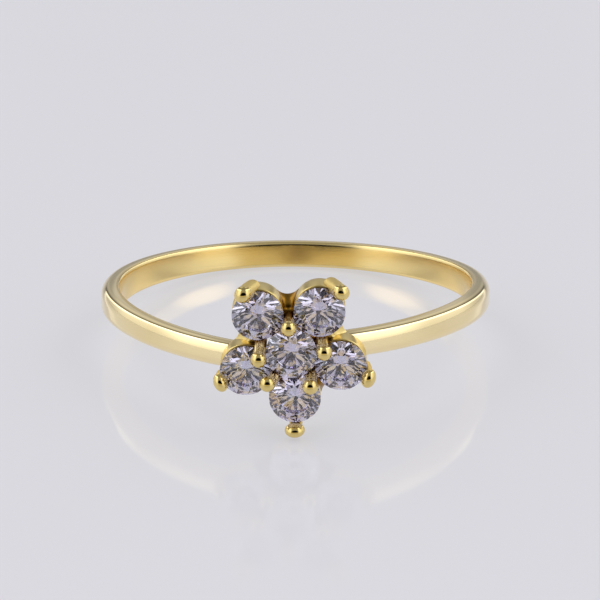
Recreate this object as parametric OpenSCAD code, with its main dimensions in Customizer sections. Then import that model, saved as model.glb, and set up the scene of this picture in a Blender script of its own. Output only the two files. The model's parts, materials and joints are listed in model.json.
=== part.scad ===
// Flower cluster finger ring: a thin rounded band and a head of six round brilliants,
// resting on its side on its lowest prong and on the back edge of the band.
// Millimetres. The floor is z = 0 and the flower faces -Y.

/* [Finger hole] */
// Inside diameter of the ring, a US size 7
finger_d = 17.3; // [15.7:0.1:19]

/* [Band] */
// Mean width of the band, along the finger
band_w = 1.39; // [1.3:0.01:1.7]
// How much wider than that it is at its sides, and narrower at its back and front
band_w_swing = 0.09; // [0:0.01:0.12]
// Thickness of the band, from the finger outwards
band_t = 0.98; // [0.9:0.02:1.3]
// Rounding of the band's outer edges
outer_edge_r = 0.52; // [0.3:0.02:0.54]
// Rounding of the band's inner edges
inner_edge_r = 0.3; // [0.2:0.02:0.36]
// Inside radius of the flatter shoulders that run to the head
shoulder_r = 10.5; // [9.5:0.25:11.5]
// Angle from the front at which the shoulders begin
shoulder_deg = 60; // [50:1:65]
// Angle by which each half is sprung out of the ring's plane, the right one upwards
spring_deg = 1; // [0:0.1:1.4]
// How far the front droops under the ring's plane
front_droop = 0.45; // [0:0.05:0.6]

/* [Flower head] */
// Distance of the petals' girdles from the middle of the finger hole
head_out = 10.38; // [10.3:0.02:10.8]
// Height of the flower's middle over the ring's plane
head_up = -0.31; // [-0.4:0.01:0.1]
// Angle by which the flower's face looks down from the ring's plane
head_pitch = 7; // [0:0.5:8]
// Height of the middle stone over the petals
center_lift = 0.36; // [0.32:0.02:0.5]
// Depth of the cups, from the petals' girdles back to the finger side
cup_depth = 1.25; // [1.2:0.05:1.3]
// Outer radius of a petal's cup at its front rim
cup_front_r = 1.38; // [1.34:0.02:1.44]
// Outer radius of a petal's cup at its back
cup_back_r = 1.2; // [1.1:0.02:1.3]
// How far a cup's rim lies behind its stone's girdle
rim_drop = 0.12; // [0.08:0.02:0.2]

/* [Prongs] */
// Radius of the inner prongs' wire
inner_wire_r = 0.3; // [0.28:0.01:0.34]
// Radius of the inner prongs' ball tips
inner_ball_r = 0.4; // [0.39:0.01:0.44]
// Height of the inner ball tips over the petals' girdles
inner_tip_h = 1.1; // [0.9:0.05:1.2]
// Radius of the outer prongs' wire
outer_wire_r = 0.34; // [0.3:0.01:0.38]
// Radius of the outer prongs' ball tips
outer_ball_r = 0.43; // [0.4:0.01:0.46]
// Height of the outer ball tips over the petals' girdles
outer_tip_h = 0.4; // [0.3:0.05:0.6]

/* [Stones] */
// Diameter of every stone
stone_d = 2.5; // [2.4:0.02:2.54]
// Width of a stone's table, as a part of its diameter
table_part = 0.57; // [0.53:0.01:0.62]
// Slope of the crown facets
crown_deg = 34.5; // [31:0.5:36]
// Slope of the pavilion facets
pavilion_deg = 40.8; // [40:0.1:42]
// Thickness of the girdle
girdle_t = 0.06; // [0.05:0.01:0.08]
// Clearance between a stone and the metal
seat_gap = 0.03; // [0.02:0.01:0.05]

/* [Hidden] */
$fn = 96;

gold = [0.86, 0.72, 0.42];
crystal = [0.86, 0.86, 0.92];

// Turns are clockwise from the top of the flower, seen from the front, and reaches are
// measured from its middle. As cast and bent, none of them is quite regular.
TURN = 0;
REACH = 1;

// Petals from the upper left on, and how far each stone is turned in its seat.
petals = [
    // turn, reach, facet turn
    [-40.5, 2.51, 10],
    [32, 2.5, 34],
    [104.3, 2.45, 21],
    [175.6, 2.31, 4],
    [247.2, 2.38, 27],
];
FACET_TURN = 2;
center_up = 0.13;
center_facet_turn = 15;

// Inner prongs, from the top one on. Each post stands where the stones round it leave most room,
// and its ball tip is bent over the stones from there.
inner_prongs = [
    // turn of the tip, reach of the tip, turn of the post, reach of the post
    [-4.4, 1.69, -4.5, 1.655],
    [73.3, 1.65, 67.5, 1.57],
    [144.2, 1.57, 137.3, 1.4],
    [224.2, 1.62, 212.8, 1.368],
    [272.7, 1.56, 285.5, 1.536],
];
POST_TURN = 2;
POST_REACH = 3;
inner_foot_h = -1.15;
inner_knee_h = 0.6;
knee_swell = 0.02;

// Outer prongs, one to a petal.
outer_prongs = [
    // turn of the tip, reach of the tip, turn of the foot
    [-36, 3.98, -30],
    [35.5, 4.08, 29.5],
    [107.8, 3.85, 104.5],
    [178.6, 3.83, 176],
    [247.7, 3.71, 247],
];
FOOT_TURN = 2;
LOWEST = 3;
outer_foot_reach = 3.72;
outer_foot_h = -0.95;

// The middle cup, and the webs of metal in the notches between neighbouring petal cups.
center_cup_back_r = 1.05;
center_cup_front_r = 1.27;
web_r = 0.3;
web_reach = 2.4;
web_front = -0.35;
culet_hole_r = 0.45;
culet_hole_front = -0.5;

finger_r = finger_d / 2;
stone_r = stone_d / 2;
table_r = table_part * stone_r;
crown_h = (stone_r - table_r) * tan(crown_deg);
pavilion_h = stone_r * tan(pavilion_deg);

// The band is swept through this many equal steps of turn, from one end inside the head round
// the back to the other. A turn of 0 is the middle of the back.
band_steps = 96;
band_end_turn = 168;
shoulder_turn = 180 - shoulder_deg;
edge_steps = 4;
bore_skin = 0.08;

// Rest pose: the ring leans back on the lowest prong's ball and the band's lower back edge.
lowest = head_point(spot(outer_prongs[LOWEST][TURN], outer_prongs[LOWEST][REACH], outer_tip_h));
back_edge = [0, finger_r + band_t - outer_edge_r, outer_edge_r - width_at(0) / 2];
lean_run = back_edge.y - lowest.y;
lean_rise = back_edge.z - lowest.z;
lean_deg = atan2(lean_rise, lean_run)
    + asin((outer_ball_r - outer_edge_r) / norm([lean_run, lean_rise]));
front_y = min([for (t = inner_prongs) leaned(head_point(spot(t[TURN], t[REACH], inner_tip_h))).y])
    - inner_ball_r;
back_y = leaned([0, back_edge.y, -back_edge.z]).y + outer_edge_r;
rest_shift = [0, -(front_y + back_y) / 2, outer_ball_r - leaned(lowest).z];

// A point of the flower from its turn, its reach and its height over the petals' girdles.
function spot(turn, reach, h) = [reach * sin(turn), reach * cos(turn), h];

// The same point in the ring's own frame, whose Z runs along the finger.
function head_point(p) = [
    p.x,
    -head_out - p.y * sin(head_pitch) - p.z * cos(head_pitch),
    head_up + p.y * cos(head_pitch) - p.z * sin(head_pitch),
];

// A point of the ring's frame after the lean.
function leaned(p) = [
    p.x,
    p.y * cos(lean_deg) + p.z * sin(lean_deg),
    p.z * cos(lean_deg) - p.y * sin(lean_deg),
];

// Turn of the notch between a petal and the next one.
function notch_turn(i) =
    i == 4 ? (petals[4][TURN] + petals[0][TURN] + 360) / 2
    : (petals[i][TURN] + petals[i + 1][TURN]) / 2;

// Moves what is built in the ring's frame to its place at rest.
module at_rest() {
    translate(rest_shift) rotate([-lean_deg, 0, 0]) children();
}

// Moves what is built in the flower's frame (X right, Y up, Z forward) into the ring's frame.
module on_head() {
    translate([0, -head_out, head_up]) rotate([90 + head_pitch, 0, 0]) children();
}

function width_at(turn) = band_w - band_w_swing * cos(2 * turn);

// The band's finger side seen along the finger: a circle, and a flatter arc at each shoulder.
function finger_side(turn) =
    abs(turn) <= shoulder_turn ? finger_r * [sin(turn), cos(turn)]
    : (finger_r - shoulder_r) * [sign(turn) * sin(shoulder_turn), cos(shoulder_turn)]
        + shoulder_r * [sin(turn), cos(turn)];

// Height of the band's middle there, out of the ring's plane.
function band_height(p) =
    sign(p.x) * tan(spring_deg) * (finger_r - p.y)
    - front_droop * pow(max(0, -p.y) / finger_r, 2);

// Points of one outer and one inner edge: how far out from the finger, how far in from the side.
outer_edge = [for (k = [0:edge_steps]) let (a = 90 * k / edge_steps)
    [band_t - outer_edge_r * (1 - sin(a)), outer_edge_r * (1 - cos(a))]];
inner_edge = [for (k = [1:edge_steps]) let (a = 90 * k / edge_steps)
    [inner_edge_r * (1 - cos(a)), inner_edge_r * (1 - sin(a))]];

// Section of the band at a turn. Its inner face carries a thin skin, which the bore cuts to a
// true cylinder.
function band_section(turn) =
    let (w = width_at(turn) / 2, flat = w - inner_edge_r)
    concat(
        [[-bore_skin, -flat]],
        [for (e = inner_edge) [e.x, e.y - w]],
        [for (e = outer_edge) [e.x, e.y - w]],
        [for (k = [edge_steps:-1:0]) [outer_edge[k].x, w - outer_edge[k].y]],
        [for (k = [edge_steps - 1:-1:0]) [inner_edge[k].x, w - inner_edge[k].y]],
        [[-bore_skin, flat]]
    );

module swept_band() {
    turns = [for (i = [0:band_steps]) band_end_turn * (2 * i / band_steps - 1)];
    corners = len(band_section(0));
    points = [for (turn = turns)
        let (p = finger_side(turn), z = band_height(p))
            for (q = band_section(turn)) [p.x + q.x * sin(turn), p.y + q.x * cos(turn), z + q.y]];
    ends = [
        [for (k = [0:corners - 1]) k],
        [for (k = [corners - 1:-1:0]) band_steps * corners + k],
    ];
    sides = [for (i = [0:band_steps - 1], k = [0:corners - 1])
        let (a = i * corners + k, b = i * corners + (k + 1) % corners)
            each [[a, b + corners, b], [a, a + corners, b + corners]]];
    polyhedron(points = points, faces = concat(ends, sides), convexity = 8);
}

// The band with its true bore and with room for the stones that its ends run behind.
module band() {
    difference() {
        swept_band();
        on_head() seats();
        cylinder(r = finger_r, h = 4 * band_w, center = true);
    }
}

// A straight wire from one point to another.
module wire(from, to, r) {
    run = to - from;
    translate(from)
        rotate([0, acos(run.z / norm(run)), atan2(run.y, run.x)])
            cylinder(r = r, h = norm(run));
}

module inner_prong(p) {
    foot = spot(p[POST_TURN], p[POST_REACH], inner_foot_h);
    knee = spot(p[POST_TURN], p[POST_REACH], inner_knee_h);
    tip = spot(p[TURN], p[REACH], inner_tip_h);
    wire(foot, knee, inner_wire_r);
    translate(knee) sphere(r = inner_wire_r + knee_swell);
    wire(knee, tip, inner_wire_r);
    translate(tip) sphere(r = inner_ball_r);
}

module outer_prong(p) {
    tip = spot(p[TURN], p[REACH], outer_tip_h);
    wire(spot(p[FOOT_TURN], outer_foot_reach, outer_foot_h), tip, outer_wire_r);
    translate(tip) sphere(r = outer_ball_r);
}

module prongs() {
    for (i = [0:4]) {
        difference() {
            inner_prong(inner_prongs[i]);
            seats();
        }
        difference() {
            outer_prong(outer_prongs[i]);
            translate(spot(petals[i][TURN], petals[i][REACH], 0)) seat();
        }
    }
}

// The petal cups, the webs between them and the middle cup.
module gallery() {
    difference() {
        union() {
            for (i = [0:4]) {
                translate(spot(petals[i][TURN], petals[i][REACH], -cup_depth))
                    cylinder(r1 = cup_back_r, r2 = cup_front_r, h = cup_depth - rim_drop);
                translate(spot(notch_turn(i), web_reach, -cup_depth))
                    cylinder(r = web_r, h = cup_depth + web_front);
            }
            translate([0, center_up, -cup_depth])
                cylinder(r = center_cup_back_r, h = cup_depth);
            translate([0, center_up, 0])
                cylinder(r1 = center_cup_back_r, r2 = center_cup_front_r,
                    h = center_lift - rim_drop);
        }
        seats();
    }
}

// Room for one stone: its outline grown by the clearance, and the hole behind its culet.
module seat() {
    g = seat_gap;
    side_h = (girdle_t + g) / 2;
    rotate_extrude()
        polygon([
            [0, -girdle_t / 2 - pavilion_h - 2 * g],
            [stone_r + g, -side_h],
            [stone_r + g, side_h],
            [table_r + g, girdle_t / 2 + crown_h + g],
            [0, girdle_t / 2 + crown_h + g],
        ]);
    translate([0, 0, -2 * cup_depth])
        cylinder(r = culet_hole_r, h = 2 * cup_depth + culet_hole_front);
}

module seats() {
    for (p = petals) translate(spot(p[TURN], p[REACH], 0)) seat();
    translate([0, center_up, center_lift]) seat();
}

// Band, gallery and prongs, soldered into one piece.
module band_and_setting() {
    color(gold) at_rest() {
        band();
        on_head() {
            gallery();
            prongs();
        }
    }
}

// Round brilliant. A main facet lies straight across its radius, so its height follows from
// how far out along that radius a point is.
function main_crown_z(x) = girdle_t / 2 + crown_h * (stone_r - x) / (stone_r - table_r);
function main_pavilion_z(x) = -girdle_t / 2 - pavilion_h * (stone_r - x) / stone_r;
function around(r, a, z) = [r * cos(a), r * sin(a), z];

star_r = 0.76 * stone_r;
star_z = main_crown_z(star_r * cos(22.5));
lower_r = 0.23 * stone_r;
lower_z = main_pavilion_z(lower_r * cos(22.5));

// Height of the girdle's edge at its k-th of 32 corners. Every second corner lies midway along
// a facet that comes down from a point at point_r, and takes its height from that facet.
function girdle_z(k, point_r, point_z, edge_z) =
    k % 2 == 0 ? edge_z
    : edge_z + (point_z - edge_z) * (1 - cos(11.25)) / (cos(11.25) * (point_r / stone_r - 1));

// Corners in rings: the table, the tips of the star facets, the girdle's two edges, the tips
// of the lower girdle facets, and the culet.
TABLE = 0;
STAR = 8;
UPPER = 16;
LOWER = 48;
TIP = 80;
CULET = 88;

brilliant_points = concat(
    [for (i = [0:7]) around(table_r, 45 * i, girdle_t / 2 + crown_h)],
    [for (i = [0:7]) around(star_r, 45 * i + 22.5, star_z)],
    [for (k = [0:31]) around(stone_r, 11.25 * k, girdle_z(k, star_r, star_z, girdle_t / 2))],
    [for (k = [0:31]) around(stone_r, 11.25 * k, girdle_z(k, lower_r, lower_z, -girdle_t / 2))],
    [for (i = [0:7]) around(lower_r, 45 * i + 22.5, lower_z)],
    [around(0, 0, -girdle_t / 2 - pavilion_h)]
);

// The table, then for each eighth its star, crown main and upper girdle facets, the girdle's
// four sides, the lower girdle facets and the pavilion main.
brilliant_facets = concat(
    [[for (i = [7:-1:0]) TABLE + i]],
    [for (i = [0:7])
        let (
            last = (i + 7) % 8,
            next = (i + 1) % 8,
            u = UPPER + 4 * i,
            u_next = UPPER + 4 * next,
            l = LOWER + 4 * i,
            l_next = LOWER + 4 * next
        )
        each [
            [TABLE + i, TABLE + next, STAR + i],
            [TABLE + i, STAR + i, u, STAR + last],
            [STAR + i, u + 2, u + 1, u],
            [STAR + i, u_next, u + 3, u + 2],
            [u, u + 1, l + 1, l],
            [u + 1, u + 2, l + 2, l + 1],
            [u + 2, u + 3, l + 3, l + 2],
            [u + 3, u_next, l_next, l + 3],
            [TIP + i, l, l + 1, l + 2],
            [TIP + i, l + 2, l + 3, l_next],
            [CULET, TIP + last, l, TIP + i],
        ]]
);

module brilliant(facet_turn) {
    rotate([0, 0, facet_turn])
        polyhedron(points = brilliant_points, faces = brilliant_facets, convexity = 2);
}

module stone_center() {
    color(crystal) at_rest() on_head()
        translate([0, center_up, center_lift]) brilliant(center_facet_turn);
}

module stone_petal(i) {
    color(crystal) at_rest() on_head()
        translate(spot(petals[i][TURN], petals[i][REACH], 0)) brilliant(petals[i][FACET_TURN]);
}

band_and_setting();
stone_center();
stone_petal(0);  // stone_petal_1
stone_petal(1);  // stone_petal_2
stone_petal(2);  // stone_petal_3
stone_petal(3);  // stone_petal_4
stone_petal(4);  // stone_petal_5
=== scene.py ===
"""Flower cluster ring in polished yellow gold plate, lying on its side on a glossy pale table."""
import json
from math import asin, atan2, cos, pi, radians, sin, sqrt, tan

import bmesh
import bpy
from mathutils import Matrix, Vector


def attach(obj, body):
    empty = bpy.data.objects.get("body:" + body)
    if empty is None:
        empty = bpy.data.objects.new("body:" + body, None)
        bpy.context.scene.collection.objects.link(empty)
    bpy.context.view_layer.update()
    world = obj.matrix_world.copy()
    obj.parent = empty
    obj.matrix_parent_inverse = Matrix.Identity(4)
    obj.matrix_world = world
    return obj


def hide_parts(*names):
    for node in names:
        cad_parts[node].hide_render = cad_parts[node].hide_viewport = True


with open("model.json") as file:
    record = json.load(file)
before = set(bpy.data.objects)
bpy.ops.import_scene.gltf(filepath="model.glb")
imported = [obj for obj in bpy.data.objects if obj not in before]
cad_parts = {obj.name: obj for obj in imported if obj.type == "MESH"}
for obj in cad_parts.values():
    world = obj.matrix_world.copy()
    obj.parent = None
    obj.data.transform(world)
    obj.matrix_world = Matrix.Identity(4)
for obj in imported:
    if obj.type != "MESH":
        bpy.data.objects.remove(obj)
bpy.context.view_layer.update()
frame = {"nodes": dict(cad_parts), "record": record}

# The photographer's view. A long macro lens stands in front of the ring, a little above it.
# Its angles are to the ring itself, which leans back on its lowest prong by the tilt of the
# finger hole. A ring point is in millimetres, X to the right, Y to the back, Z along the finger.
MM = 0.001
bore = frame["record"]["mounts"][0]
finger_axis = Vector(bore["axis"]).normalized()
lean = atan2(finger_axis.y, finger_axis.z)
at_rest = Matrix.Translation(bore["pos_m"]) @ Matrix.Rotation(-lean, 4, "X")
lens_azimuth = radians(0.921)
lens_elevation = radians(13.81)
lens_roll = radians(-0.442)
lens_distance = 300 * MM
lens_length = 362.8
film_width = 36
nearest_seen = 10 * MM
farthest_seen = 10000 * MM
# The picture's side and the middle of the finger hole in it, across and down, in pixels.
picture_side = 600
ring_middle = 295.4
# Light turns many times inside a stone and between its seat's walls before it comes out.
stone_bounces = 24
metal_bounces = 16

to_lens = Vector((
    sin(lens_azimuth) * cos(lens_elevation),
    -cos(lens_azimuth) * cos(lens_elevation),
    sin(lens_elevation),
))
lens_tilt = to_lens.to_track_quat("Z", "Y").to_matrix().to_4x4()
lens = bpy.data.cameras.new("macro_lens")
lens.lens = lens_length
lens.sensor_width = film_width
lens.clip_start = nearest_seen
lens.clip_end = farthest_seen
lens.shift_x = (picture_side / 2 - ring_middle) / picture_side
lens.shift_y = (ring_middle - picture_side / 2) / picture_side
camera = bpy.data.objects.new("macro_lens", lens)
camera.matrix_world = (
    at_rest @ Matrix.Translation(to_lens * lens_distance)
    @ lens_tilt @ Matrix.Rotation(-lens_roll, 4, "Z")
)
bpy.context.scene.collection.objects.link(camera)
bpy.context.scene.camera = camera
bpy.context.scene.view_settings.view_transform = "Standard"
bpy.context.scene.cycles.max_bounces = stone_bounces
bpy.context.scene.cycles.glossy_bounces = metal_bounces
bpy.context.scene.cycles.transmission_bounces = stone_bounces


# The light tent. Pale cloth stands all round the table with a dark lens in its opening. Each
# panel of the cloth is set out by the slope of polished metal that mirrors it into the lens:
# 0 degrees is metal that faces straight out from the finger, 90 degrees faces along it.
def linear(colour):
    """A hex sRGB colour as linear RGBA."""
    parts = [int(colour[i:i + 2], 16) / 255 for i in (1, 3, 5)]
    return [c / 12.92 if c <= 0.04045 else ((c + 0.055) / 1.055) ** 2.4 for c in parts] + [1]


def node(tree, kind, inputs=None, **settings):
    """A new node with its settings. An input is a value, or the socket that feeds it."""
    made = tree.nodes.new(kind)
    for name, value in settings.items():
        setattr(made, name, value)
    for name, value in (inputs or {}).items():
        if isinstance(value, bpy.types.NodeSocket):
            tree.links.new(value, made.inputs[name])
        else:
            made.inputs[name].default_value = value
    return made


# Slope in degrees, then the brightness of the cloth there: in the middle, at the two lamps
# beside it, and at the sides.
tent_panels = [
    (-90, 0.62, 0.62, 0.62),
    (-30, 0.66, 0.75, 0.68),
    (-8, 0.74, 0.86, 0.90),
    (16, 0.84, 1.40, 1.00),
    (26, 0.50, 1.60, 1.05),
    (40, 0.40, 1.80, 1.15),
    (44, 0.40, 2.60, 2.40),
    (49, 0.40, 2.60, 2.40),
    (51, 0.26, 0.26, 0.26),
    (57, 0.26, 0.26, 0.26),
    (62, 0.36, 0.66, 0.66),
    (70, 0.42, 0.80, 0.80),
    (82, 0.44, 0.60, 0.60),
    (90, 0.54, 0.66, 0.66),
]
cloth_white = linear("#F8F8FA")
# The dark opening round the lens, by the slope that mirrors it: its half width where it is full
# and where it ends, and how far its middle lies below the lens.
lens_black = linear("#050504")
opening_half = radians(17)
opening_edge = radians(24)
opening_drop = radians(5)
# The opening ends a little above the table, where a warm wooden stand shows under it. Both ends
# of that change are the sine of their height.
opening_foot = 0.10
opening_clear = 0.22
stand_warm = linear("#F6E6BE")
# How far round from the middle the cloth turns to the lamps, and the lamps to the sides: where
# each change begins and ends, as the sine of that angle.
lamp_start = (0.28, 0.42)
lamp_end = (0.56, 0.72)
# The cloth behind the table, which the two sides of the ring mirror, gets less light.
rear_start = 0.84
rear_end = 0.96
rear_light = 0.62

tent = bpy.data.worlds.new("light_tent")
bpy.context.scene.world = tent
tent.use_nodes = True
tree = tent.node_tree
tree.nodes.clear()
lens_way = (at_rest.to_3x3() @ to_lens).normalized()
way = node(tree, "ShaderNodeTexCoord").outputs["Generated"]
halfway = node(tree, "ShaderNodeVectorMath", {0: way, 1: lens_way}, operation="ADD")
slope_way = node(tree, "ShaderNodeVectorMath", {0: halfway.outputs[0]}, operation="NORMALIZE")
rise = node(tree, "ShaderNodeVectorMath", {
    0: slope_way.outputs[0], 1: finger_axis,
}, operation="DOT_PRODUCT")
slope = node(tree, "ShaderNodeMath", {0: rise.outputs["Value"]}, operation="ARCSINE")
share = node(tree, "ShaderNodeMapRange", {
    "Value": slope.outputs[0], "From Min": -pi / 2, "From Max": pi / 2,
})

# A ramp's slope and brightness both run from 0 to 1.
brightest = max(max(panel[1:]) for panel in tent_panels)
columns = []
for column in (1, 2, 3):
    cloth = node(tree, "ShaderNodeValToRGB", {"Fac": share.outputs[0]})
    stops = cloth.color_ramp.elements
    for _ in tent_panels[2:]:
        stops.new(0.5)
    for stop, panel in zip(stops, tent_panels):
        stop.position = (panel[0] + 90) / 180
    for stop, panel in zip(stops, tent_panels):
        stop.color = [panel[column] / brightest] * 3 + [1]
    columns.append(cloth.outputs[0])

# How far round from the middle the mirroring metal faces, as a sine: its sideways share over
# its level share.
rise_squared = node(tree, "ShaderNodeMath", {
    0: rise.outputs["Value"], 1: rise.outputs["Value"],
}, operation="MULTIPLY")
level_squared = node(tree, "ShaderNodeMath", {
    0: 1.0, 1: rise_squared.outputs[0],
}, operation="SUBTRACT")
level = node(tree, "ShaderNodeMath", {0: level_squared.outputs[0]}, operation="SQRT")
slope_parts = node(tree, "ShaderNodeSeparateXYZ", {0: slope_way.outputs[0]})
sideways = node(tree, "ShaderNodeMath", {
    0: slope_parts.outputs["X"], 1: level.outputs[0],
}, operation="DIVIDE")
aside = node(tree, "ShaderNodeMath", {0: sideways.outputs[0]}, operation="ABSOLUTE")
strength = columns[0]
changes = []
for column, (start, end) in zip(columns[1:], (lamp_start, lamp_end)):
    changes.append(node(tree, "ShaderNodeMapRange", {
        "Value": aside.outputs[0], "From Min": start, "From Max": end,
    }, interpolation_type="SMOOTHSTEP").outputs[0])
    strength = node(tree, "ShaderNodeMix", {
        "Factor": changes[-1], "A": strength, "B": column,
    }, data_type="RGBA").outputs[2]

way_parts = node(tree, "ShaderNodeSeparateXYZ", {0: way})
above_foot = node(tree, "ShaderNodeMapRange", {
    "Value": way_parts.outputs["Z"], "From Min": opening_foot, "From Max": opening_clear,
}, interpolation_type="SMOOTHSTEP")
beyond_stand = node(tree, "ShaderNodeMath", {
    0: above_foot.outputs[0], 1: changes[0],
}, operation="MAXIMUM")
cloth_colour = node(tree, "ShaderNodeMix", {
    "Factor": beyond_stand.outputs[0], "A": stand_warm, "B": cloth_white,
}, data_type="RGBA")
opening_way = Matrix.Rotation(opening_drop, 3, "X") @ lens_way
facing = node(tree, "ShaderNodeVectorMath", {
    0: slope_way.outputs[0], 1: opening_way,
}, operation="DOT_PRODUCT")
opening_share = node(tree, "ShaderNodeMapRange", {
    "Value": facing.outputs["Value"],
    "From Min": cos(opening_edge), "From Max": cos(opening_half),
}, interpolation_type="SMOOTHSTEP")
opening = node(tree, "ShaderNodeMath", {
    0: opening_share.outputs[0], 1: above_foot.outputs[0],
}, operation="MULTIPLY")
seen = node(tree, "ShaderNodeMix", {
    "Factor": opening.outputs[0], "A": cloth_colour.outputs[2], "B": lens_black,
}, data_type="RGBA")

cloth_light = node(tree, "ShaderNodeMapRange", {
    "Value": aside.outputs[0], "From Min": rear_start, "From Max": rear_end,
    "To Min": brightest, "To Max": brightest * rear_light,
}, interpolation_type="SMOOTHSTEP")
glow = node(tree, "ShaderNodeMath", {
    0: strength, 1: cloth_light.outputs[0],
}, operation="MULTIPLY")
light = node(tree, "ShaderNodeBackground", {
    "Color": seen.outputs[2], "Strength": glow.outputs[0],
})
node(tree, "ShaderNodeOutputWorld", {"Surface": light.outputs[0]})

# The table. A cast sheet of white acrylic, lit through from below so that it takes almost no
# shadow. Its gloss, a little scuffed, mirrors the ring weakly.
table_half = 1500 * MM
table_colour = linear("#8C8B92")
table_light = linear("#DADADE")
table_strength = 0.77
table_ior = 1.49
table_polish = 0.09
table_mesh = bpy.data.meshes.new("table")
corners = [(table_half * x, table_half * y, 0) for x, y in ((-1, -1), (1, -1), (1, 1), (-1, 1))]
table_mesh.from_pydata(corners, [], [(0, 1, 2, 3)])
table = bpy.data.objects.new("table", table_mesh)
bpy.context.scene.collection.objects.link(table)
acrylic = bpy.data.materials.new("lit_white_acrylic")
acrylic.use_nodes = True
tree = acrylic.node_tree
tree.nodes.clear()
matt = node(tree, "ShaderNodeBsdfDiffuse", {"Color": table_colour})
lit = node(tree, "ShaderNodeEmission", {"Color": table_light, "Strength": table_strength})
body = node(tree, "ShaderNodeAddShader", {0: matt.outputs[0], 1: lit.outputs[0]})
gloss = node(tree, "ShaderNodeBsdfGlossy", {"Roughness": table_polish})
mirror_share = node(tree, "ShaderNodeFresnel", {"IOR": table_ior})
sheet = node(tree, "ShaderNodeMixShader", {
    0: mirror_share.outputs[0], 1: body.outputs[0], 2: gloss.outputs[0],
})
node(tree, "ShaderNodeOutputMaterial", {"Surface": sheet.outputs[0]})
table_mesh.materials.append(acrylic)

# The glints. The curved inside of the band gathers the lamps' light into two soft warm streaks
# on the table. Each is thrown by a narrow spot from above, and given by its middle on the table
# in millimetres and its turn in degrees.
glints = [(-4.7, 6.2, 44), (4.9, 6.4, -44)]
glint_colour = linear("#FFDC82")
glint_height = 40 * MM
glint_half_length = 2.3 * MM
glint_narrowness = 0.46
glint_power = 0.048
for x, y, turn in glints:
    spot_light = bpy.data.lights.new("glint", "SPOT")
    spot_light.energy = glint_power
    spot_light.color = glint_colour[:3]
    spot_light.spot_size = 2 * atan2(glint_half_length, glint_height)
    spot_light.spot_blend = 1
    spot_light.shadow_soft_size = 0
    glint = bpy.data.objects.new("glint", spot_light)
    glint.location = (x * MM, y * MM, glint_height)
    glint.rotation_euler = (0, 0, radians(turn))
    glint.scale = (1, glint_narrowness, 1)
    bpy.context.scene.collection.objects.link(glint)

# The stones' seats, as the setting burr leaves them in the brass: the stone's own form and a
# little room, open behind the culet. They are cut out of every piece of metal that they reach.
# A flower point is in millimetres too: right, up and out from the middle of the petals' girdles.
head_out = 10.38
head_up = -0.31
head_pitch = radians(7)
# The turn and the reach of each petal stone, and the middle stone's place above them.
petals = [(-40.5, 2.51), (32, 2.5), (104.3, 2.45), (175.6, 2.31), (247.2, 2.38)]
center_middle = (0, 0.13, 0.36)
stone_r = 1.25
table_r = 0.7125
crown_slope = tan(radians(34.5))
pavilion_slope = tan(radians(40.8))
girdle_half = 0.03
culet_hole_r = 0.45
seat_gap = 0.015
seat_end = -2.25
seat_sides = 96


def spot(turn, reach, out):
    """A flower point from its clockwise turn in degrees, its reach and its height."""
    return reach * sin(radians(turn)), reach * cos(radians(turn)), out


def on_head(p):
    """A flower point as a ring point."""
    x, up, out = p
    return (
        x,
        -head_out - up * sin(head_pitch) - out * cos(head_pitch),
        head_up + up * cos(head_pitch) - out * sin(head_pitch),
    )


def spun(profile, middle, sides):
    """Rows of ring points from (radius, height) pairs turned round a flower point."""
    turns = [2 * pi * k / sides for k in range(sides)]
    return [[on_head((middle[0] + r * cos(a), middle[1] + r * sin(a), middle[2] + out))
             for a in turns] for r, out in profile]


def skin(rows, hollow=False):
    """Points and faces of a closed shell. Its rows are capped, or the last joins the first."""
    count = len(rows[0])
    ends = len(rows) if hollow else len(rows) - 1
    faces = []
    for i in range(ends):
        here = i * count
        after = (i + 1) % len(rows) * count
        for k in range(count):
            beside = (k + 1) % count
            faces.append((here + k, here + beside, after + beside, after + k))
    if not hollow:
        faces.append(tuple(range(count)))
        faces.append(tuple(range(ends * count, len(rows) * count)))
    return [p for row in rows for p in row], faces


def shell(name, points, faces):
    """A mesh object from ring points, with its faces turned outwards."""
    mesh = bpy.data.meshes.new(name)
    mesh.from_pydata([at_rest @ (Vector(p) * MM) for p in points], [], faces)
    work = bmesh.new()
    work.from_mesh(mesh)
    bmesh.ops.recalc_face_normals(work, faces=work.faces)
    work.to_mesh(mesh)
    work.free()
    made = bpy.data.objects.new(name, mesh)
    bpy.context.scene.collection.objects.link(made)
    return made


edge = stone_r + seat_gap
seat_profile = [
    (table_r, girdle_half + crown_slope * (edge - table_r) + seat_gap),
    (edge, girdle_half + seat_gap),
    (edge, -girdle_half - seat_gap),
    (culet_hole_r, -girdle_half - seat_gap - pavilion_slope * (edge - culet_hole_r)),
    (culet_hole_r, seat_end),
]
petal_middles = [spot(turn, reach, 0) for turn, reach in petals]
seat_points = []
seat_faces = []
for middle in petal_middles + [center_middle]:
    points, faces = skin(spun(seat_profile, middle, seat_sides))
    seat_faces += [tuple(k + len(seat_points) for k in face) for face in faces]
    seat_points += points
seats = shell("seats", seat_points, seat_faces)

# The band. It is one cast strip of brass, rounded outside and softer inside, bent to the finger
# hole. Its shoulders run flatter to the head, each half is sprung a little out of the ring's
# plane, and the front droops. The file leaves it widest at its sides.
finger_r = 8.65
band_w = 1.39
band_w_swing = 0.09
band_t = 0.98
outer_edge_r = 0.52
inner_edge_r = 0.17
inner_crown = 0.01
inner_taper = tan(radians(5.2))
shoulder_r = 10.5
shoulder_turn = radians(120)
spring = radians(1)
front_droop = 0.42
band_end_turn = radians(167)
band_steps = 420
edge_steps = 9
# An edge that turns by more than this stays crisp, and the buffing rounds the others.
crisp_edge = radians(40)

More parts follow.
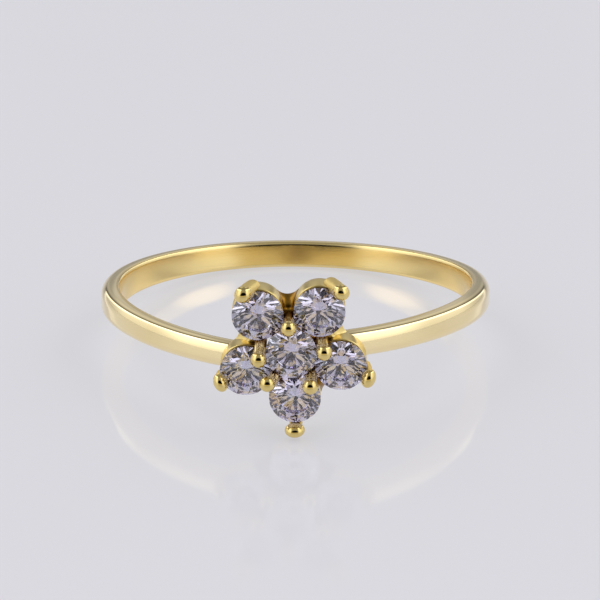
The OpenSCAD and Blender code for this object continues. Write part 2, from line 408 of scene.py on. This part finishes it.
# The band's finish is polished gold plate: filed, buffed on a soft wheel and plated, so it
# mirrors the tent almost cleanly. Its tone changes faintly between two colours, and its polish
# with it. The head has a richer pair. The band's pair is paler, a painted lightening that turns
# its bright mirrorings cream. Inside the band the plate is rubbed less: it is richer and satin
# there, from this far out from the finger's middle.
gold_pale = ("#F7E6B8", "#F2DCA4")
gold_rich = ("#E8D38E", "#DFC57C")
gold_inside = "#F2DA9A"
tone_size = 2.5 * MM
tone_ends = (0.3, 0.7)
polish_ends = (0.06, 0.11)
band_satin = 0.2
inside_from = (finger_r + 0.3) * MM
inside_to = (finger_r + 0.12) * MM
# The casting's skin leaves faint waves, the wheel fine lines along the band, and the plating
# bath a grain. The lines and the grain are drawn as coarse as they need to show.
wave_size = 0.9 * MM
wave_height = 0.0010 * MM
line_size = 0.07 * MM
line_length = 2.5 * MM
line_height = 0.0008 * MM
grain_size = 0.05 * MM
grain_height = 0.0003 * MM
# The wheel doesn't reach behind the flower's face: the plate turns satin there, from this height
# over the petals' girdles to that.
satin_from = 0.55 * MM
satin_to = 0.25 * MM
# Painted shade: the recesses behind the face are browned, from one height to the other, and so
# is every crevice with metal or stone this near. It is full where less than the first share of
# the way round stands open, and gone above the second.
recess_shade_colour = "#906A28"
recess_shade_from = 0.5 * MM
recess_shade_to = 0.0 * MM
crevice_size = 0.3 * MM
crevice_ends = (0.3, 0.8)
crevice_rays = 8


def gold_plate(name, colours, satin, face=None, recess=False):
    """Gold plate, polished but for its satin: inside the band, or behind the flower's face.

    The face is given by a point and a way. Shade is painted brown into the crevices behind it,
    and over the whole of a recess.
    """
    made = bpy.data.materials.new(name)
    made.use_nodes = True
    tree = made.node_tree
    tree.nodes.clear()
    place = node(tree, "ShaderNodeTexCoord").outputs["Object"]
    tone = node(tree, "ShaderNodeTexNoise", {"Vector": place, "Scale": 1 / tone_size, "Detail": 2})
    colour = node(tree, "ShaderNodeMix", {
        "Factor": tone.outputs["Fac"], "A": linear(colours[0]), "B": linear(colours[1]),
    }, data_type="RGBA").outputs[2]
    along = node(tree, "ShaderNodeMapping", {
        "Vector": place, "Rotation": (-lean, 0, 0), "Scale": (line_length, line_length, line_size),
    }, vector_type="TEXTURE")
    bump = {}
    for vector, scale, height in (
        (place, 1 / wave_size, wave_height),
        (along.outputs[0], 1, line_height),
        (place, 1 / grain_size, grain_height),
    ):
        relief = node(tree, "ShaderNodeTexNoise", {"Vector": vector, "Scale": scale, "Detail": 1})
        bumped = node(tree, "ShaderNodeBump", {
            "Height": relief.outputs["Fac"], "Distance": height, "Strength": 1, **bump,
        })
        bump = {"Normal": bumped.outputs[0]}
    polish = node(tree, "ShaderNodeMapRange", {
        "Value": tone.outputs["Fac"], "From Min": tone_ends[0], "From Max": tone_ends[1],
        "To Min": polish_ends[0], "To Max": polish_ends[1],
    }).outputs[0]
    if face:
        middle, way = face
        start, end = satin_from, satin_to
    else:
        middle, way = Vector(bore["pos_m"]), finger_axis
        start, end = inside_from, inside_to
    offset = node(tree, "ShaderNodeVectorMath", {0: place, 1: middle}, operation="SUBTRACT")
    if face:
        away = node(tree, "ShaderNodeVectorMath", {
            0: offset.outputs[0], 1: way,
        }, operation="DOT_PRODUCT").outputs["Value"]
    else:
        across = node(tree, "ShaderNodeVectorMath", {
            0: offset.outputs[0], 1: way,
        }, operation="CROSS_PRODUCT")
        away = node(tree, "ShaderNodeVectorMath", {
            0: across.outputs[0],
        }, operation="LENGTH").outputs["Value"]
    unreached = node(tree, "ShaderNodeMapRange", {
        "Value": away, "From Min": start, "From Max": end,
    }, interpolation_type="SMOOTHSTEP")
    polish = node(tree, "ShaderNodeMix", {
        "Factor": unreached.outputs[0], "A": polish, "B": satin,
    }).outputs[0]
    # Painted shade: brown in the crevices, where little of the way round stands open.
    if face:
        room = node(tree, "ShaderNodeAmbientOcclusion", {
            "Distance": crevice_size,
        }, samples=crevice_rays)
        unshaded = node(tree, "ShaderNodeMapRange", {
            "Value": room.outputs["AO"], "From Min": crevice_ends[0], "From Max": crevice_ends[1],
        }, interpolation_type="SMOOTHSTEP")
        colour = node(tree, "ShaderNodeMix", {
            "Factor": unshaded.outputs[0], "A": linear(recess_shade_colour), "B": colour,
        }, data_type="RGBA").outputs[2]
    else:
        colour = node(tree, "ShaderNodeMix", {
            "Factor": unreached.outputs[0], "A": colour, "B": linear(gold_inside),
        }, data_type="RGBA").outputs[2]
    # Painted shade over the whole of a recess, from one height behind the face to the other.
    if recess:
        depth_shade = node(tree, "ShaderNodeMapRange", {
            "Value": away, "From Min": recess_shade_from, "From Max": recess_shade_to,
        }, interpolation_type="SMOOTHSTEP")
        colour = node(tree, "ShaderNodeMix", {
            "Factor": depth_shade.outputs[0], "A": colour, "B": linear(recess_shade_colour),
        }, data_type="RGBA").outputs[2]
    plate = node(tree, "ShaderNodeBsdfPrincipled", {
        "Base Color": colour, "Metallic": 1, "Roughness": polish, **bump,
    })
    node(tree, "ShaderNodeOutputMaterial", {"Surface": plate.outputs[0]})
    return made


band_gold = gold_plate("gold_plated_brass", gold_pale, band_satin)


def finger_side(turn):
    """The band's inner face seen along the finger, at a turn from the middle of the back."""
    if abs(turn) <= shoulder_turn:
        return finger_r * sin(turn), finger_r * cos(turn)
    side = 1 if turn > 0 else -1
    off = finger_r - shoulder_r
    return (
        off * side * sin(shoulder_turn) + shoulder_r * sin(turn),
        off * cos(shoulder_turn) + shoulder_r * cos(turn),
    )


def band_height(x, y):
    """Height of the band's middle there."""
    side = (x > 0) - (x < 0)
    return side * tan(spring) * (finger_r - y) - front_droop * (max(0, -y) / finger_r) ** 2


def band_section(width):
    """Outline of the band across its run: how far out from the finger, and how far up."""
    half = width / 2
    inner_half = half - inner_edge_r
    steepest = atan2(2 * inner_crown, inner_half)
    lower = [(inner_crown * (k / edge_steps) ** 2, -inner_half * k / edge_steps)
             for k in range(edge_steps)]
    for k in range(edge_steps + 1):
        a = steepest + (pi / 2 - steepest) * k / edge_steps
        lower.append((
            inner_crown + inner_edge_r * (cos(steepest) - cos(a)),
            -inner_half - inner_edge_r * (sin(a) - sin(steepest)),
        ))
    bottom = lower[-1][1]
    for k in range(edge_steps + 1):
        a = pi / 2 * k / edge_steps
        lower.append((
            band_t - outer_edge_r * (1 - sin(a)),
            bottom + outer_edge_r * (1 - cos(a)),
        ))
    whole = lower + [(out, -up) for out, up in reversed(lower[1:])]
    return [(out + inner_taper * up * (1 - out / band_t), up) for out, up in whole]


def metal(name, rows, plate, hollow=False):
    """A piece of the ring's metal from rows of ring points, cut clear of the stones."""
    piece = shell(name, *skin(rows, hollow))
    burr = piece.modifiers.new("burr", "BOOLEAN")
    burr.operation = "DIFFERENCE"
    burr.solver = "EXACT"
    burr.object = seats
    cut_view = bpy.context.evaluated_depsgraph_get()
    mesh = bpy.data.meshes.new_from_object(piece.evaluated_get(cut_view))
    piece.modifiers.clear()
    piece.data = mesh
    mesh.materials.clear()
    mesh.materials.append(plate)
    mesh.polygons.foreach_set("use_smooth", [True] * len(mesh.polygons))
    mesh.set_sharp_from_angle(angle=crisp_edge)
    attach(piece, "root")
    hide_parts("band_and_setting")


rows = []
for i in range(band_steps + 1):
    turn = band_end_turn * (2 * i / band_steps - 1)
    x, y = finger_side(turn)
    middle = band_height(x, y)
    width = band_w - band_w_swing * cos(2 * turn)
    rows.append([(x + out * sin(turn), y + out * cos(turn), middle + up)
                 for out, up in band_section(width)])
metal("band", rows, band_gold)

# The gallery. Five petal cups and a higher middle cup, cast as one. Each cup is a wall with a
# rounded rim just behind its stone's edge, and a bearing that the stone's pavilion rests on.
# The wax was set a little high, so more of each rim shows above its stone than below.
face_middle = at_rest @ (Vector(on_head((0, 0, 0))) * MM)
face_way = (at_rest @ (Vector(on_head((0, 0, 1))) * MM) - face_middle).normalized()
face = (face_middle, face_way)
gallery_satin = 0.3
# The head's plates take painted shade in their crevices, and the recess plate over its recesses.
gallery_gold = gold_plate("gold_plated_brass_gallery", gold_rich, gallery_satin, face)
shaded_recess_gold = gold_plate("gold_plated_brass_shaded_recess", gold_rich, gallery_satin, face, recess=True)
cup_depth = 1.25
cup_rise = 0.1
cup_front_r = 1.23
cup_back_r = 1.2
cup_back_edge = 0.05
cup_belly = 0.02
cup_wall_steps = 10
center_front_r = 1.22
center_back_r = 1.05
center_flare_out = -0.2
rim_drop = 0.08
rim_r = 0.07
bearing_step = 0.01
cup_sides = 96
rim_steps = 10


def cup_profile(wall, front_r):
    """Section of a cup: up the outside, over the rounded rim, and down the bearing to the hole."""
    profile = list(wall)
    rim_out = -rim_drop - rim_r
    for k in range(rim_steps + 1):
        a = pi * k / rim_steps
        profile.append((front_r - rim_r + rim_r * cos(a), rim_out + rim_r * sin(a)))
    inner = front_r - 2 * rim_r
    bearing = -girdle_half - seat_gap
    rest = min(bearing - pavilion_slope * (stone_r - inner), rim_out)
    profile.append((inner, rest - bearing_step))
    profile.append((culet_hole_r, bearing - pavilion_slope * (stone_r - culet_hole_r)))
    profile.append((culet_hole_r, wall[0][1]))
    return profile


wall_h = cup_depth - rim_drop - rim_r - cup_back_edge
wall = [(cup_back_r - cup_back_edge, -cup_depth)]
for k in range(cup_wall_steps):
    share = k / cup_wall_steps
    wall.append((
        cup_back_r + (cup_front_r - cup_back_r) * share + cup_belly * sin(pi * share),
        -cup_depth + cup_back_edge + wall_h * share,
    ))
profile = cup_profile(wall, cup_front_r)
for i, middle in enumerate(petal_middles):
    raised = (middle[0], middle[1] + cup_rise, middle[2])
    metal(f"petal_cup_{i + 1}", spun(profile, raised, cup_sides), gallery_gold, hollow=True)
center_lift = center_middle[2]
wall = [
    (center_back_r, -cup_depth - center_lift),
    (center_back_r, -center_lift),
    (center_front_r, center_flare_out),
]
profile = cup_profile(wall, center_front_r)
metal("center_cup", spun(profile, center_middle, cup_sides), shaded_recess_gold, hollow=True)

# The webs. Where the wax petals meet, the casting fills the notch with a smooth valley that
# runs back and out. Its front edge rolls over between the two cups, well behind the stones.
web_fillet_front = 0.25
web_fillet_back = 0.68
web_back = -cup_depth + 0.02
web_front = -0.45
web_roll = 0.2
web_root = 0.2
web_bite = 0.12
wall_r = 1.27
# The webs at the two sides stand open to the light, so they get no painted recess shade.
open_webs = (1, 4)
web_steps = 12
roll_steps = 6
arc_steps = 16
# Each station is the share of the way to the front edge, and how far the edge has rolled there.
web_stations = [(k / web_steps, 0.0) for k in range(web_steps + 1)]
web_stations += [(1.0, pi / 2 * k / roll_steps) for k in range(1, roll_steps + 1)]
for i, petal in enumerate(petal_middles):
    one = Vector(petal)
    two = Vector(petal_middles[(i + 1) % len(petal_middles)])
    half_gap = (two - one).length / 2
    along = (two - one).normalized()
    outward = (one + two).normalized()
    outward = (outward - along * outward.dot(along)).normalized()
    rows = []
    for share, rolled in web_stations:
        middle = (one + two) / 2 - outward * web_roll * (1 - cos(rolled))
        out = web_back + (web_front - web_roll - web_back) * share + web_roll * sin(rolled)
        fillet = web_fillet_back + (web_fillet_front - web_fillet_back) * share
        lift = sqrt((wall_r + fillet) ** 2 - half_gap ** 2)
        reach = asin(half_gap / (wall_r + fillet))
        row = []
        for j in range(arc_steps + 1):
            a = reach * (2 * j / arc_steps - 1)
            p = middle + along * fillet * sin(a) + outward * (lift - fillet * cos(a))
            row.append(on_head((p.x, p.y, out)))
        for side in (1, -1):
            p = middle + along * side * (half_gap - wall_r + web_bite) - outward * web_root
            row.append(on_head((p.x, p.y, out)))
        rows.append(row)
    metal(f"web_{i + 1}", rows, gallery_gold if i in open_webs else shaded_recess_gold)

# The prongs. Ten lengths of round brass wire are soldered to the gallery, notched over the stones
# and bent in, and their ends are burred into balls: five round the middle stone, five outside.
# An inner prong has its tip's turn and reach, then its foot's.
inner_prongs = [
    (-4.4, 1.69, -4.5, 1.655),
    (73.3, 1.65, 67.5, 1.57),
    (144.2, 1.57, 137.3, 1.4),
    (224.2, 1.62, 212.8, 1.368),
    (272.7, 1.56, 285.5, 1.536),
]
inner_wire_r = 0.3
inner_ball_r = 0.39
inner_foot_out = -1.15
inner_knee_out = 0.6
inner_tip_out = 1.1
# An outer prong has them too, then its wire's and its ball's radius, and the share of the ball's
# reach that is left once it has been pressed flat against the stone.
outer_prongs = [
    (-36.5, 3.9, -31.7, 3.62, 0.42, 0.44, 0.92),
    (35.5, 4.06, 29.8, 3.77, 0.40, 0.42, 0.92),
    (106.3, 3.86, 104, 3.62, 0.31, 0.475, 0.75),
    (177.2, 3.82, 176, 3.62, 0.31, 0.49, 0.70),
    (247.7, 3.66, 247, 3.62, 0.31, 0.47, 0.74),
]
outer_tip_out = 0.4
outer_foot_out = -0.62
pressed_depth = 0.3
neck_room = 1.02
wire_sides = 48
wire_steps = 26
ball_steps = 22
prong_satin = 0.5
# The prongs' plate takes painted shade in its crevices too.
prong_gold = gold_plate("gold_plated_brass_prong", gold_rich, prong_satin, face)


def bent_wire(points, wire_r, ball_r):
    """Rows of flower points round a wire from its round foot, past a knee, to its ball tip."""
    foot, knee, tip = (Vector(p) for p in points)
    path = []
    for k in range(wire_steps + 1):
        s = k / wire_steps
        path.append((1 - s) ** 2 * foot + 2 * s * (1 - s) * knee + s ** 2 * tip)
    start = (path[1] - path[0]).normalized()
    across = start.orthogonal().normalized()
    rings = []
    for k in range(1, ball_steps):
        a = pi / 2 * k / ball_steps
        rings.append((foot - start * wire_r * cos(a), start, wire_r * sin(a)))
    neck = asin(min(1, wire_r / ball_r))
    reach = ball_r * cos(neck)
    for k, p in enumerate(path[:-1]):
        if (tip - p).length > reach * neck_room:
            rings.append((p, (path[k + 1] - p).normalized(), wire_r))
    end = (path[-1] - path[-3]).normalized()
    for k in range(ball_steps):
        a = neck + (pi - neck) * k / ball_steps
        rings.append((tip - end * ball_r * cos(a), end, ball_r * sin(a)))
    rows = []
    for middle, way, r in rings:
        across = (across - way * across.dot(way)).normalized()
        other = way.cross(across)
        rows.append([middle + r * (cos(2 * pi * j / wire_sides) * across
                                   + sin(2 * pi * j / wire_sides) * other)
                     for j in range(wire_sides)])
    return rows


for i, (turn, reach, foot_turn, foot_reach) in enumerate(inner_prongs):
    rows = bent_wire([
        spot(foot_turn, foot_reach, inner_foot_out),
        spot(foot_turn, foot_reach, inner_knee_out),
        spot(turn, reach, inner_tip_out),
    ], inner_wire_r, inner_ball_r)
    metal(f"inner_prong_{i + 1}", [[on_head(p) for p in row] for row in rows], shaded_recess_gold)
for i, prong in enumerate(outer_prongs):
    turn, reach, foot_turn, foot_reach, wire_r, ball_r, ball_share = prong
    foot = Vector(spot(foot_turn, foot_reach, outer_foot_out))
    tip = Vector(spot(turn, reach, outer_tip_out))
    outward = Vector(spot(turn, 1, 0))
    rows = bent_wire([foot, (foot + tip) / 2, tip], wire_r, ball_r)
    flattened = []
    for row in rows:
        pressed = []
        for p in row:
            out_part = (p - tip).dot(outward)
            near = max(0.0, min(1.0, 1 - (tip.z - ball_r - p.z) / pressed_depth))
            pressed.append(on_head(p - outward * out_part * (1 - ball_share) * near))
        flattened.append(pressed)
    metal(f"outer_prong_{i + 1}", flattened, prong_gold)
bpy.data.objects.remove(seats)

# The stones. Round brilliants of colourless cubic zirconia, ground flat facet by facet and
# polished, and pressed into their seats. They bend light strongly and blue more than red. That
# fire is painted as a faint random tint on each facet.
zirconia_tint = linear("#FAF9FF")
zirconia_ior = 2.165
facet_fire = 0.03
zirconia = bpy.data.materials.new("cubic_zirconia")
zirconia.use_nodes = True
tree = zirconia.node_tree
tree.nodes.clear()
# Painted fire: each facet's way picks a faint random tint.
facet = node(tree, "ShaderNodeNewGeometry").outputs["True Normal"]
fire = node(tree, "ShaderNodeTexWhiteNoise", {"Vector": facet}, noise_dimensions="3D")
facet_colour = node(tree, "ShaderNodeMix", {
    "Factor": facet_fire, "A": zirconia_tint, "B": fire.outputs["Color"],
}, data_type="RGBA")
crystal = node(tree, "ShaderNodeBsdfGlass", {
    "Color": facet_colour.outputs[2], "Roughness": 0.0, "IOR": zirconia_ior,
})
node(tree, "ShaderNodeOutputMaterial", {"Surface": crystal.outputs[0]})
for name, stone in frame["nodes"].items():
    if name.startswith("stone"):
        stone.data.materials.clear()
        stone.data.materials.append(zirconia)
